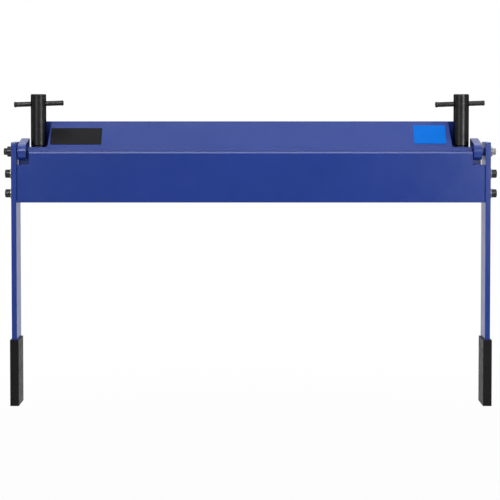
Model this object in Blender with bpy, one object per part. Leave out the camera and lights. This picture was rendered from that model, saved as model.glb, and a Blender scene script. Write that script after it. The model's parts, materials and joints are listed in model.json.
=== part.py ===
# Sheet metal bending machine for the edge of a workbench.
# Metres, +X to the right, +Y to the rear, +Z up.
# The origin is under the middle of the bed's top flange, where it rests on the bench.
# Shapes are drawn about the bend line: the line that the leaf turns on, at the bed's top front edge.

import bpy
import bmesh
import numpy as np
from math import acos, atan2, cos, hypot, pi, radians, sin, sqrt, tan
from mathutils import Matrix, Vector

# Clearances
GAP = 0.0003
CLAMP_END_PLAY = 0.0012
STUD_TOP_ROOM = 0.006
NUT_SIDE_ROOM = 0.0047
NUT_REAR_ROOM = 0.0077
LUG_SIDE_ROOM = 0.0025
LUG_ROOM_BELOW = 0.0086
BAR_HOLE_CLEARANCE = 0.0002

# Bed, a steel angle
BED_LENGTH = 0.8958
BED_DEPTH = 0.100
BED_THICKNESS = 0.008
BED_FRONT_HEIGHT = 0.080
BED_ROOT_RADIUS = 0.006
BENCH_HOLE_DIAMETER = 0.011
BENCH_HOLE_SINK_DIAMETER = 0.021
BENCH_HOLE_REAR_INSET = 0.018
BENCH_HOLE_X = (0.150, 0.350)

# Hinge lugs, welded in the bed's end notches
LUG_THICKNESS = 0.016
LUG_NOSE_RADIUS = 0.0165
LUG_REAR = 0.0385
LUG_HEIGHT = 0.025

# Clamp bar: an angle with a sloped cover plate
NOSE_SETBACK = 0.002
NOSE_FLAT = 0.0005
CLAMP_DEPTH = 0.051
CLAMP_HEIGHT = 0.0577
CLAMP_THICKNESS = 0.008
CLAMP_ROOT_RADIUS = 0.004
FACE_THICKNESS = 0.005
FACE_NOTCH_ROOM = 0.0035
FACE_NOTCH_LEAN = 0.004
CLAMP_STUD_HOLE_CLEARANCE = 0.0007

# Clamp screws: stud, spring, washer, sleeve nut and tommy bar
STUD_DIAMETER = 0.0156
STUD_CHAMFER = 0.0015
STUD_BLOCK_WALL = 0.0064
STUD_BLOCK_HEIGHT = 0.0197
STUD_BLOCK_REAR_WALL = 0.0052
STUD_BLOCK_FRONT_ROOM = 0.0023
TOMMY_END_CHAMFER = 0.0008
SPRING_WIRE = 0.002
SPRING_TURNS = 5.5
SPRING_INNER_ROOM = 0.0014
SPRING_OUTER_ROOM = 0.0018
SPRING_POCKET_DEPTH = 0.0117
THRUST_WASHER_DIAMETER = 0.026
THRUST_WASHER_THICKNESS = 0.0018
NUT_DIAMETER = 0.030
NUT_HEIGHT = 0.1006
NUT_BORE_DEPTH = 0.0556
NUT_CHAMFER = 0.0015
CROSS_HOLE_BELOW_TOP = 0.0187
TOMMY_DIAMETER = 0.0096
TOMMY_LENGTH = 0.096
TOMMY_TILT = radians(2.0)
TOMMY_END_LENGTH = 0.003
TOMMY_END_TAPER = 0.002
TOMMY_END_UPSET = (0.00065, 0.00030)
LEFT_TOMMY_SHIFT = 0.0007
RIGHT_TOMMY_SHIFT = -0.0026

# Leaf
LEAF_HEIGHT = 0.098
LEAF_THICKNESS = 0.016
LEAF_EDGE_RADIUS = 0.0030

# Pivots: shoulder stud, spacer, thick washer and nut on each side
PIVOT_DIAMETER = 0.012
PIVOT_THREAD_DIAMETER = 0.008
PIVOT_THREAD_PAST_NUT = 0.0005
LEFT_SPACER_THICKNESS = 0.0009
RIGHT_SPACER_THICKNESS = 0.0051
SPACER_DIAMETER = 0.017
PIVOT_WASHER_DIAMETER = 0.020
RIGHT_PIVOT_WASHER_THICKNESS = 0.005
PIVOT_NUT_ACROSS_FLATS = 0.013
PIVOT_NUT_HEIGHT = 0.0065

# Handles and their screws
HANDLE_THICKNESS = 0.010
HANDLE_FRONT = 0.020
HANDLE_WIDTH = 0.050
HANDLE_TOP = 0.0185
HANDLE_BOTTOM = 0.4878
HANDLE_CORNER_RADIUS = 0.004
SCREW_DIAMETER = 0.010
SCREW_DEPTH_IN_LEAF = 0.022
SCREW_SPACING = 0.038
SCREW_HEAD_DIAMETER = 0.016
SCREW_HEAD_HEIGHT = 0.010
SCREW_SOCKET_ACROSS_FLATS = 0.008
SCREW_SOCKET_DEPTH = 0.005
SCREW_WASHER_DIAMETER = 0.020
SCREW_WASHER_THICKNESS = 0.002

# Grips
GRIP_LENGTH = 0.1277
GRIP_WALL = 0.0032
GRIP_EDGE_RADIUS = 0.0022

# Facets round a full circle
FINE_SEGMENTS = 48
SEGMENTS = 32
SMALL_SEGMENTS = 24
ARC_STEPS = 5
NOSE_STEPS = 14
SPRING_POINTS_PER_TURN = 10

# How far a cutter runs past the surface that it opens
PAST = 0.002

# Levels and depths worked out from the sizes above, all from the bend line
LUG_OUTER_X = BED_LENGTH / 2 + GAP
LUG_INNER_X = LUG_OUTER_X - LUG_THICKNESS
CLAMP_HALF_LENGTH = LUG_INNER_X - CLAMP_END_PLAY

FLANGE_REAR_FACE_Y = GAP + BED_THICKNESS
BED_REAR_Y = GAP + BED_DEPTH
BENCH_FACE_Y = (FLANGE_REAR_FACE_Y + BED_REAR_Y) / 2

CLAMP_BOTTOM_Z = GAP
CLAMP_LEG_TOP_Z = CLAMP_BOTTOM_Z + CLAMP_THICKNESS
CLAMP_TOP_Z = CLAMP_BOTTOM_Z + CLAMP_HEIGHT
CLAMP_REAR_Y = NOSE_SETBACK + CLAMP_DEPTH
UPRIGHT_FRONT_Y = CLAMP_REAR_Y - CLAMP_THICKNESS
NOSE_Z = CLAMP_BOTTOM_Z + NOSE_FLAT
FACE_TOP_Y = UPRIGHT_FRONT_Y - GAP
FACE_RUN = FACE_TOP_Y - NOSE_SETBACK
FACE_RISE = CLAMP_TOP_Z - NOSE_Z
FACE_FOOT_Z = CLAMP_LEG_TOP_Z + GAP

STUD_RADIUS = STUD_DIAMETER / 2
NUT_RADIUS = NUT_DIAMETER / 2
STUD_X = LUG_INNER_X - NUT_SIDE_ROOM - NUT_RADIUS
STUD_Y = UPRIGHT_FRONT_Y - NUT_REAR_ROOM - NUT_RADIUS
STUD_BORE_RADIUS = STUD_RADIUS + GAP
STUD_HOLE_RADIUS = STUD_RADIUS + CLAMP_STUD_HOLE_CLEARANCE
SPRING_RADIUS = STUD_RADIUS + SPRING_INNER_ROOM + SPRING_WIRE / 2
POCKET_RADIUS = SPRING_RADIUS + SPRING_WIRE / 2 + SPRING_OUTER_ROOM
BLOCK_TOP_Z = -BED_THICKNESS - GAP
BLOCK_BOTTOM_Z = BLOCK_TOP_Z - STUD_BLOCK_HEIGHT
BLOCK_INNER_X = STUD_X - POCKET_RADIUS - STUD_BLOCK_WALL
POCKET_FLOOR_Z = BLOCK_TOP_Z - SPRING_POCKET_DEPTH
WASHER_BOTTOM_Z = CLAMP_LEG_TOP_Z + GAP
NUT_BOTTOM_Z = WASHER_BOTTOM_Z + THRUST_WASHER_THICKNESS + GAP
NUT_TOP_Z = NUT_BOTTOM_Z + NUT_HEIGHT
STUD_TOP_Z = NUT_BOTTOM_Z + NUT_BORE_DEPTH - STUD_TOP_ROOM
CROSS_HOLE_Z = NUT_TOP_Z - CROSS_HOLE_BELOW_TOP
TOMMY_RADIUS = TOMMY_DIAMETER / 2
CROSS_HOLE_RADIUS = TOMMY_RADIUS + NUT_RADIUS * tan(TOMMY_TILT) + BAR_HOLE_CLEARANCE

PIVOT_BORE_RADIUS = PIVOT_DIAMETER / 2 + GAP

# The spacers differ, so the leaf sits a little to the right of the bed's middle
LEFT_END_ROOM = LEFT_SPACER_THICKNESS + 2 * GAP
RIGHT_END_ROOM = RIGHT_SPACER_THICKNESS + 2 * GAP
LEAF_OFFSET_X = (RIGHT_END_ROOM - LEFT_END_ROOM) / 2
LEFT_PIVOT_WASHER_THICKNESS = RIGHT_PIVOT_WASHER_THICKNESS + 2 * LEAF_OFFSET_X
HANDLE_INNER_X = LUG_OUTER_X + (LEFT_END_ROOM + RIGHT_END_ROOM) / 2
HANDLE_OUTER_X = HANDLE_INNER_X + HANDLE_THICKNESS
LEAF_HALF_LENGTH = HANDLE_INNER_X - GAP
LEAF_NOTCH_X = LUG_INNER_X - LEAF_OFFSET_X - LUG_SIDE_ROOM
LEAF_NOTCH_DEPTH = LUG_NOSE_RADIUS + LUG_ROOM_BELOW
LEAF_REAR_Y = -GAP
LEAF_FRONT_Y = LEAF_REAR_Y - LEAF_THICKNESS
SCREW_BORE_RADIUS = SCREW_DIAMETER / 2 + GAP
SCREW_Y = (LEAF_FRONT_Y + LEAF_REAR_Y) / 2
SCREW_MIDDLE_Z = -(LEAF_NOTCH_DEPTH + LEAF_HEIGHT) / 2
SCREW_LEVELS = {"upper": SCREW_MIDDLE_Z + SCREW_SPACING / 2, "lower": SCREW_MIDDLE_Z - SCREW_SPACING / 2}
SCREW_WASHER_X = HANDLE_OUTER_X + GAP
SCREW_HEAD_X = SCREW_WASHER_X + SCREW_WASHER_THICKNESS + GAP
HANDLE_REAR = HANDLE_WIDTH - HANDLE_FRONT

LEFT = -1
RIGHT = 1
SIDES = (("left", LEFT), ("right", RIGHT))


# Materials

def paint(name, colour, roughness, metallic=0.0):
    material = bpy.data.materials.new(name)
    material.use_nodes = True
    shader = material.node_tree.nodes["Principled BSDF"]
    shader.inputs["Base Color"].default_value = (*colour, 1.0)
    shader.inputs["Roughness"].default_value = roughness
    shader.inputs["Metallic"].default_value = metallic
    material.diffuse_color = (*colour, 1.0)
    material.roughness = roughness
    material.metallic = metallic
    return material


# Shapes

def arc(centre, radius, start, end, steps):
    # Points on a circle, from one angle to the other, both ends included
    angles = np.linspace(start, end, steps + 1)
    return [(centre[0] + radius * cos(a), centre[1] + radius * sin(a)) for a in angles]


def finish_object(name, mesh_builder, material, parent, smooth_angle=radians(30)):
    bmesh.ops.remove_doubles(mesh_builder, verts=mesh_builder.verts, dist=1e-7)
    bmesh.ops.recalc_face_normals(mesh_builder, faces=mesh_builder.faces)
    mesh = bpy.data.meshes.new(name)
    mesh_builder.to_mesh(mesh)
    mesh_builder.free()
    mesh.shade_smooth()
    mesh.set_sharp_from_angle(angle=smooth_angle)
    shape = bpy.data.objects.new(name, mesh)
    bpy.context.scene.collection.objects.link(shape)
    if material is not None:
        mesh.materials.append(material)
    shape.parent = parent
    return shape


def extruded(name, outline, near, far, direction, material, parent):
    # An outline pushed along X, Y or Z. The outline lists the other two coordinates in X, Y, Z order.
    place = {
        "X": lambda a, b, depth: (depth, a, b),
        "Y": lambda a, b, depth: (a, depth, b),
        "Z": lambda a, b, depth: (a, b, depth),
    }[direction]
    builder = bmesh.new()
    base = builder.faces.new([builder.verts.new(place(a, b, near)) for a, b in outline])
    grown = bmesh.ops.extrude_face_region(builder, geom=[base])
    moved = [part for part in grown["geom"] if isinstance(part, bmesh.types.BMVert)]
    bmesh.ops.translate(builder, verts=moved, vec=Vector(place(0, 0, far - near)))
    return finish_object(name, builder, material, parent)


def turned(name, profile, segments, material, parent, axis="Z"):
    # A profile of (radius, height) points spun about the object's own Z axis, or laid along X
    builder = bmesh.new()
    ring = [builder.verts.new((radius, 0, height)) for radius, height in profile]
    edges = [builder.edges.new(pair) for pair in zip(ring, ring[1:])]
    if profile[0][0] > 0 or profile[-1][0] > 0:
        edges.append(builder.edges.new((ring[-1], ring[0])))
    bmesh.ops.spin(builder, geom=ring + edges, cent=(0, 0, 0), axis=(0, 0, 1), angle=2 * pi,
                   steps=segments, use_merge=True, use_duplicate=False)
    if axis == "X":
        bmesh.ops.rotate(builder, verts=builder.verts, cent=(0, 0, 0), matrix=Matrix.Rotation(pi / 2, 3, "Y"))
    return finish_object(name, builder, material, parent)


def apply_cuts(shape):
    # The cut mesh takes the place of the mesh and its modifiers
    evaluated = shape.evaluated_get(bpy.context.evaluated_depsgraph_get())
    cut_mesh = bpy.data.meshes.new_from_object(evaluated)
    shape.modifiers.clear()
    shape.data = cut_mesh


def edge_loop(shape, x):
    # A loop of edges round a shape, at one X
    builder = bmesh.new()
    builder.from_mesh(shape.data)
    geometry = builder.verts[:] + builder.edges[:] + builder.faces[:]
    bmesh.ops.bisect_plane(builder, geom=geometry, plane_co=(x, 0, 0), plane_no=(1, 0, 0))
    builder.to_mesh(shape.data)
    builder.free()


def ring_profile(inner, outer, low, high):
    return [(inner, low), (outer, low), (outer, high), (inner, high)]


def hexagon(across_flats):
    return arc((0, 0), across_flats / sqrt(3), pi / 6, pi / 6 + 5 * pi / 3, 5)


def rounded_rectangle(low, high, radius):
    corners = ((high[0] - radius, high[1] - radius), (low[0] + radius, high[1] - radius),
               (low[0] + radius, low[1] + radius), (high[0] - radius, low[1] + radius))
    outline = []
    for quarter, corner in enumerate(corners):
        outline += arc(corner, radius, quarter * pi / 2, (quarter + 1) * pi / 2, ARC_STEPS)
    return outline


def cut(target, cutter):
    cutter.hide_render = True
    cutter.display_type = "WIRE"
    modifier = target.modifiers.new("cut " + cutter.name, "BOOLEAN")
    modifier.operation = "DIFFERENCE"
    modifier.solver = "EXACT"
    modifier.object = cutter


def round_hole(target, name, radius, low, high, place, axis, parent):
    # A round hole from low to high along the axis. place holds the other two coordinates.
    profile = [(0, low), (radius, low), (radius, high), (0, high)]
    cutter = turned(name + "_cutter", profile, SEGMENTS, None, parent, axis)
    cutter.location = (0, *place) if axis == "X" else (*place, 0)
    cut(target, cutter)


def box_cut(target, name, low, high, parent):
    outline = [(low[0], low[1]), (high[0], low[1]), (high[0], high[1]), (low[0], high[1])]
    cut(target, extruded(name + "_cutter", outline, low[2], high[2], "Z", None, parent))


def empty(name, location, parent=None):
    marker = bpy.data.objects.new(name, None)
    marker.empty_display_size = 0.03
    marker.location = location
    marker.parent = parent
    bpy.context.scene.collection.objects.link(marker)
    return marker


def sided(side, near, far):
    # The two X limits of a piece on one side, the smaller first
    return sorted((side * near, side * far))


# Bed and hinge lugs

def make_bed(parent, steel):
    root = (FLANGE_REAR_FACE_Y + BED_ROOT_RADIUS, -BED_THICKNESS - BED_ROOT_RADIUS)
    outline = [(GAP, 0), (GAP, -BED_FRONT_HEIGHT), (FLANGE_REAR_FACE_Y, -BED_FRONT_HEIGHT)]
    outline += arc(root, BED_ROOT_RADIUS, pi, pi / 2, ARC_STEPS)
    outline += [(BED_REAR_Y, -BED_THICKNESS), (BED_REAR_Y, 0)]
    bed = extruded("bed_angle", outline, -BED_LENGTH / 2, BED_LENGTH / 2, "X", steel, parent)
    for word, side in SIDES:
        near, far = sided(side, LUG_INNER_X - GAP, BED_LENGTH / 2 + PAST)
        notch_low = (near, -PAST, -LUG_NOSE_RADIUS - GAP)
        notch_high = (far, LUG_REAR + GAP, PAST)
        box_cut(bed, word + "_lug_notch", notch_low, notch_high, parent)
        stud_place = (side * STUD_X, STUD_Y)
        round_hole(bed, word + "_pocket", POCKET_RADIUS, POCKET_FLOOR_Z, PAST, stud_place, "Z", parent)
        for number, hole_x in enumerate(BENCH_HOLE_X):
            name = f"{word}_bench_hole_{number + 1}"
            make_bench_hole(bed, name, side * hole_x, parent)
    # The bench touches only the flats between the stud blocks, so these are faces of their own
    apply_cuts(bed)
    for word, side in SIDES:
        edge_loop(bed, side * BLOCK_INNER_X)


def make_bench_hole(bed, name, x, parent):
    # A clearance hole with a 90 degree countersink
    small = BENCH_HOLE_DIAMETER / 2
    large = BENCH_HOLE_SINK_DIAMETER / 2
    profile = [(0, -BED_THICKNESS - PAST), (small, -BED_THICKNESS - PAST), (small, small - large),
               (large + PAST, PAST), (0, PAST)]
    cutter = turned(name + "_cutter", profile, SEGMENTS, None, parent)
    cutter.location = (x, BED_REAR_Y - BENCH_HOLE_REAR_INSET, 0)
    cut(bed, cutter)


def make_lug(word, side, parent, steel):
    # A round nose about the pivot, with a straight top that rises to the rear corner
    corner = (LUG_REAR, LUG_HEIGHT)
    tangent = atan2(corner[1], corner[0]) + acos(LUG_NOSE_RADIUS / hypot(*corner))
    outline = arc((0, 0), LUG_NOSE_RADIUS, 3 * pi / 2, tangent, NOSE_STEPS)
    outline += [corner, (LUG_REAR, -LUG_NOSE_RADIUS)]
    near, far = sided(side, LUG_INNER_X, LUG_OUTER_X)
    lug = extruded(word + "_hinge_lug", outline, near, far, "X", steel, parent)
    round_hole(lug, word + "_lug_bore", PIVOT_BORE_RADIUS, near - PAST, far + PAST, (0, 0), "X", parent)


# Clamp screws

def make_stud_block(word, side, parent, steel):
    # It clears the flange, so its pocket is open at the front, and its top front edge is cut back
    # for the round root of the bed's angle
    front = FLANGE_REAR_FACE_Y + STUD_BLOCK_FRONT_ROOM
    rear = STUD_Y + POCKET_RADIUS + STUD_BLOCK_REAR_WALL
    outline = [(front, BLOCK_BOTTOM_Z), (rear, BLOCK_BOTTOM_Z), (rear, BLOCK_TOP_Z),
               (front + BED_ROOT_RADIUS, BLOCK_TOP_Z), (front, BLOCK_TOP_Z - BED_ROOT_RADIUS)]
    near, far = sided(side, BLOCK_INNER_X, LUG_INNER_X - GAP)
    block = extruded(word + "_stud_block", outline, near, far, "X", steel, parent)
    profile = [(0, BLOCK_BOTTOM_Z - PAST), (STUD_BORE_RADIUS, BLOCK_BOTTOM_Z - PAST),
               (STUD_BORE_RADIUS, POCKET_FLOOR_Z), (POCKET_RADIUS, POCKET_FLOOR_Z),
               (POCKET_RADIUS, PAST), (0, PAST)]
    cutter = turned(word + "_block_bore_cutter", profile, SEGMENTS, None, parent)
    cutter.location = (side * STUD_X, STUD_Y, 0)
    cut(block, cutter)


def make_stud(word, side, parent, steel):
    profile = [(0, BLOCK_BOTTOM_Z), (STUD_RADIUS, BLOCK_BOTTOM_Z), (STUD_RADIUS, STUD_TOP_Z - STUD_CHAMFER),
               (STUD_RADIUS - STUD_CHAMFER, STUD_TOP_Z), (0, STUD_TOP_Z)]
    stud = turned(word + "_clamp_stud", profile, SEGMENTS, steel, parent)
    stud.location = (side * STUD_X, STUD_Y, 0)


def spring_path():
    # A steady helix from the pocket's floor to the clamp bar's underside
    bottom = POCKET_FLOOR_Z + GAP + SPRING_WIRE / 2
    top = CLAMP_BOTTOM_Z - GAP - SPRING_WIRE / 2
    count = round(SPRING_TURNS * SPRING_POINTS_PER_TURN)
    turns = np.linspace(0, SPRING_TURNS, count + 1)
    angles = 2 * pi * turns
    heights = bottom + (top - bottom) * turns / SPRING_TURNS
    return np.column_stack((SPRING_RADIUS * np.cos(angles), SPRING_RADIUS * np.sin(angles), heights))


def least_gap(points, wire):
    # The nearest that two stretches of the wire lie to each other, at least half a turn apart
    apart = SPRING_POINTS_PER_TURN // 2
    steps = range(len(points) - apart)
    distances = [np.linalg.norm(points[i + apart:] - points[i], axis=1).min() for i in steps]
    return min(distances) - wire


def make_spring(word, side, parent, steel):
    points = spring_path()
    curve = bpy.data.curves.new(word + "_lift_spring", "CURVE")
    curve.dimensions = "3D"
    curve.bevel_depth = SPRING_WIRE / 2
    curve.bevel_resolution = 1
    curve.use_fill_caps = True
    spline = curve.splines.new("POLY")
    spline.points.add(len(points) - 1)
    for place, point in zip(spline.points, points):
        place.co = (*point, 1)
    curve.materials.append(steel)
    spring = bpy.data.objects.new(word + "_lift_spring", curve)
    bpy.context.scene.collection.objects.link(spring)
    spring.parent = parent
    spring.location = (side * STUD_X, STUD_Y, 0)
    print(f"{word} lift spring: least gap to itself {1000 * least_gap(points, SPRING_WIRE):.2f} mm")


def make_thrust_washer(word, parent, steel):
    top = WASHER_BOTTOM_Z + THRUST_WASHER_THICKNESS
    profile = ring_profile(STUD_HOLE_RADIUS, THRUST_WASHER_DIAMETER / 2, WASHER_BOTTOM_Z, top)
    turned(word + "_thrust_washer", profile, SEGMENTS, steel, parent)


def make_clamp_nut(word, parent, steel):
    # A sleeve with a blind bore for the stud and a cross hole for the tommy bar
    bore_top = NUT_BOTTOM_Z + NUT_BORE_DEPTH
    drill_point = bore_top + STUD_BORE_RADIUS * tan(radians(30))
    edge = NUT_RADIUS - NUT_CHAMFER
    profile = [(0, drill_point), (STUD_BORE_RADIUS, bore_top), (STUD_BORE_RADIUS, NUT_BOTTOM_Z),
               (edge, NUT_BOTTOM_Z), (NUT_RADIUS, NUT_BOTTOM_Z + NUT_CHAMFER),
               (NUT_RADIUS, NUT_TOP_Z - NUT_CHAMFER), (edge, NUT_TOP_Z), (0, NUT_TOP_Z)]
    nut = turned(word + "_clamp_nut", profile, FINE_SEGMENTS, steel, parent)
    reach = NUT_RADIUS + PAST
    round_hole(nut, word + "_cross_hole", CROSS_HOLE_RADIUS, -reach, reach, (0, CROSS_HOLE_Z), "X", parent)


def make_tommy_bar(word, shift, parent, steel):
    # Both ends are upset, so the bar stays in its sleeve
    half = TOMMY_LENGTH / 2
    chamfer = TOMMY_END_CHAMFER
    first, last = (TOMMY_RADIUS + upset for upset in TOMMY_END_UPSET)
    neck = half - TOMMY_END_LENGTH - TOMMY_END_TAPER
    profile = [(0, -half), (first - chamfer, -half), (first, chamfer - half),
               (first, TOMMY_END_LENGTH - half), (TOMMY_RADIUS, -neck),
               (TOMMY_RADIUS, neck), (last, half - TOMMY_END_LENGTH),
               (last, half - chamfer), (last - chamfer, half), (0, half)]
    bar = turned(word + "_tommy_bar", profile, SMALL_SEGMENTS, steel, parent, "X")
    bar.location = (shift * cos(TOMMY_TILT), 0, CROSS_HOLE_Z + shift * sin(TOMMY_TILT))
    bar.rotation_euler = (0, -TOMMY_TILT, 0)


# Clamp bar

def make_clamp_angle(parent, steel):
    nose_top_y = NOSE_SETBACK + (CLAMP_LEG_TOP_Z - NOSE_Z) * FACE_RUN / FACE_RISE
    root = (UPRIGHT_FRONT_Y - CLAMP_ROOT_RADIUS, CLAMP_LEG_TOP_Z + CLAMP_ROOT_RADIUS)
    outline = [(CLAMP_REAR_Y, CLAMP_BOTTOM_Z), (NOSE_SETBACK, CLAMP_BOTTOM_Z), (NOSE_SETBACK, NOSE_Z),
               (nose_top_y, CLAMP_LEG_TOP_Z)]
    outline += arc(root, CLAMP_ROOT_RADIUS, -pi / 2, 0, ARC_STEPS)
    outline += [(UPRIGHT_FRONT_Y, CLAMP_TOP_Z), (CLAMP_REAR_Y, CLAMP_TOP_Z)]
    angle = extruded("clamp_angle", outline, -CLAMP_HALF_LENGTH, CLAMP_HALF_LENGTH, "X", steel, parent)
    for word, side in SIDES:
        low, high = CLAMP_BOTTOM_Z - PAST, CLAMP_LEG_TOP_Z + PAST
        place = (side * STUD_X, STUD_Y)
        round_hole(angle, word + "_stud_hole", STUD_HOLE_RADIUS, low, high, place, "Z", parent)


def make_clamp_face(parent, steel):
    # The plate follows the slope from the nose to the upright's top, and its ends lean inwards
    face_length = hypot(FACE_RUN, FACE_RISE)
    foot_y = NOSE_SETBACK + (FACE_FOOT_Z - NOSE_Z) * FACE_RUN / FACE_RISE
    foot_width = FACE_THICKNESS * face_length / FACE_RISE
    top_height = FACE_THICKNESS * face_length / FACE_RUN
    outline = [(foot_y, FACE_FOOT_Z), (FACE_TOP_Y, CLAMP_TOP_Z), (FACE_TOP_Y, CLAMP_TOP_Z - top_height),
               (foot_y + foot_width, FACE_FOOT_Z)]
    half = STUD_X - NUT_RADIUS - FACE_NOTCH_ROOM
    face = extruded("clamp_face", outline, -half, half, "X", steel, parent)
    for vertex in face.data.vertices:
        share = (vertex.co.z - FACE_FOOT_Z) / (CLAMP_TOP_Z - FACE_FOOT_Z)
        vertex.co.x *= 1 - share * FACE_NOTCH_LEAN / half


# Leaf

def make_leaf(parent, steel):
    edge = (LEAF_FRONT_Y + LEAF_EDGE_RADIUS, -LEAF_EDGE_RADIUS)
    outline = [(LEAF_REAR_Y, 0), (LEAF_REAR_Y, -LEAF_HEIGHT), (LEAF_FRONT_Y, -LEAF_HEIGHT)]
    outline += arc(edge, LEAF_EDGE_RADIUS, pi, pi / 2, ARC_STEPS)
    leaf = extruded("leaf_plate", outline, -LEAF_HALF_LENGTH, LEAF_HALF_LENGTH, "X", steel, parent)
    for word, side in SIDES:
        near, far = sided(side, LEAF_NOTCH_X, LEAF_HALF_LENGTH + PAST)
        notch_low = (near, LEAF_FRONT_Y - PAST, -LEAF_NOTCH_DEPTH)
        notch_high = (far, LEAF_REAR_Y + PAST, PAST)
        box_cut(leaf, word + "_leaf_notch", notch_low, notch_high, parent)
        near, far = sided(side, LEAF_HALF_LENGTH - SCREW_DEPTH_IN_LEAF - PAST, LEAF_HALF_LENGTH + PAST)
        for level, screw_z in SCREW_LEVELS.items():
            name = f"{word}_{level}_leaf_hole"
            round_hole(leaf, name, SCREW_BORE_RADIUS, near, far, (SCREW_Y, screw_z), "X", parent)


def make_handle(word, side, parent, steel):
    low, high = (-HANDLE_FRONT, -HANDLE_BOTTOM), (HANDLE_REAR, HANDLE_TOP)
    outline = rounded_rectangle(low, high, HANDLE_CORNER_RADIUS)
    near, far = sided(side, HANDLE_INNER_X, HANDLE_OUTER_X)
    handle = extruded(word + "_handle", outline, near, far, "X", steel, parent)
    round_hole(handle, word + "_handle_bore", PIVOT_BORE_RADIUS, near - PAST, far + PAST, (0, 0), "X", parent)
    for level, screw_z in SCREW_LEVELS.items():
        name = f"{word}_{level}_handle_hole"
        place = (SCREW_Y, screw_z)
        round_hole(handle, name, SCREW_BORE_RADIUS, near - PAST, far + PAST, place, "X", parent)


def make_grip(word, side, parent, rubber):
    # A closed-ended sleeve over the handle's lower end
    middle = side * (HANDLE_INNER_X + HANDLE_OUTER_X) / 2
    inner_x = HANDLE_THICKNESS / 2 + GAP
    inner_low = (middle - inner_x, -HANDLE_FRONT - GAP, -HANDLE_BOTTOM - GAP)
    inner_high = (middle + inner_x, HANDLE_REAR + GAP, GRIP_LENGTH - HANDLE_BOTTOM)
    low = [value - GRIP_WALL for value in inner_low]
    high = [value + GRIP_WALL for value in inner_high[:2]]
    outline = rounded_rectangle(low[:2], high, GRIP_EDGE_RADIUS)
    grip = extruded(word + "_grip", outline, low[2], low[2] + GRIP_LENGTH, "Z", rubber, parent)
    box_cut(grip, word + "_grip_pocket", inner_low, inner_high, parent)


def make_handle_screw(word, side, level, screw_z, parent, steel):
    # A cap screw with a hexagon socket, through the handle into the leaf's end
    tip = LEAF_HALF_LENGTH - SCREW_DEPTH_IN_LEAF
    top = SCREW_HEAD_X + SCREW_HEAD_HEIGHT
    shank, head, chamfer = SCREW_DIAMETER / 2, SCREW_HEAD_DIAMETER / 2, SCREW_DIAMETER / 10
    profile = [(0, tip), (shank, tip), (shank, SCREW_HEAD_X), (head, SCREW_HEAD_X), (head, top - chamfer),
               (head - chamfer, top), (0, top)]
    profile = [(radius, side * distance) for radius, distance in profile]
    screw = turned(f"{word}_{level}_handle_screw", profile, SMALL_SEGMENTS, steel, parent, "X")
    screw.location = (0, SCREW_Y, screw_z)
    near, far = sided(side, top - SCREW_SOCKET_DEPTH, top + PAST)
    name = f"{word}_{level}_socket_cutter"
    socket = extruded(name, hexagon(SCREW_SOCKET_ACROSS_FLATS), near, far, "X", None, parent)
    socket.location = screw.location
    cut(screw, socket)


def make_screw_washer(word, side, level, screw_z, parent, steel):
    near, far = sided(side, SCREW_WASHER_X, SCREW_WASHER_X + SCREW_WASHER_THICKNESS)
    profile = ring_profile(SCREW_BORE_RADIUS, SCREW_WASHER_DIAMETER / 2, near, far)
    washer = turned(f"{word}_{level}_screw_washer", profile, SMALL_SEGMENTS, steel, parent, "X")
    washer.location = (0, SCREW_Y, screw_z)


# Pivots, held by the bed's lugs

def make_ring(name, side, start, thickness, inner_diameter, outer_diameter, parent, steel):
    # A flat ring on the pivot line. start is its inner face's distance from the bed's middle.
    near, far = sided(side, start, start + thickness)
    profile = ring_profile(inner_diameter / 2 + GAP, outer_diameter / 2, near, far)
    turned(name, profile, SMALL_SEGMENTS, steel, parent, "X")


def make_pivot(word, side, spacer_thickness, washer_thickness, parent, steel, blue, nut_steel):
    # The washers make up for the spacers, so both studs end at the same distance from the bed's middle
    shoulder = HANDLE_OUTER_X + side * LEAF_OFFSET_X
    nut_start = shoulder + GAP + washer_thickness + GAP
    end = nut_start + PIVOT_NUT_HEIGHT + PIVOT_THREAD_PAST_NUT
    body, thread = PIVOT_DIAMETER / 2, PIVOT_THREAD_DIAMETER / 2
    chamfer = PIVOT_THREAD_DIAMETER / 8
    profile = [(0, LUG_INNER_X + GAP), (body, LUG_INNER_X + GAP), (body, shoulder), (thread, shoulder),
               (thread, end - chamfer), (thread - chamfer, end), (0, end)]
    profile = [(radius, side * distance) for radius, distance in profile]
    turned(word + "_pivot_stud", profile, SMALL_SEGMENTS, steel, parent, "X")
    make_ring(word + "_pivot_spacer", side, LUG_OUTER_X + GAP, spacer_thickness, PIVOT_DIAMETER,
              SPACER_DIAMETER, parent, blue)
    make_ring(word + "_pivot_washer", side, shoulder + GAP, washer_thickness, PIVOT_THREAD_DIAMETER,
              PIVOT_WASHER_DIAMETER, parent, nut_steel)
    near, far = sided(side, nut_start, nut_start + PIVOT_NUT_HEIGHT)
    nut = extruded(word + "_pivot_nut", hexagon(PIVOT_NUT_ACROSS_FLATS), near, far, "X", nut_steel, parent)
    round_hole(nut, word + "_pivot_nut_bore", thread + GAP, near - PAST, far + PAST, (0, 0), "X", parent)


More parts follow.
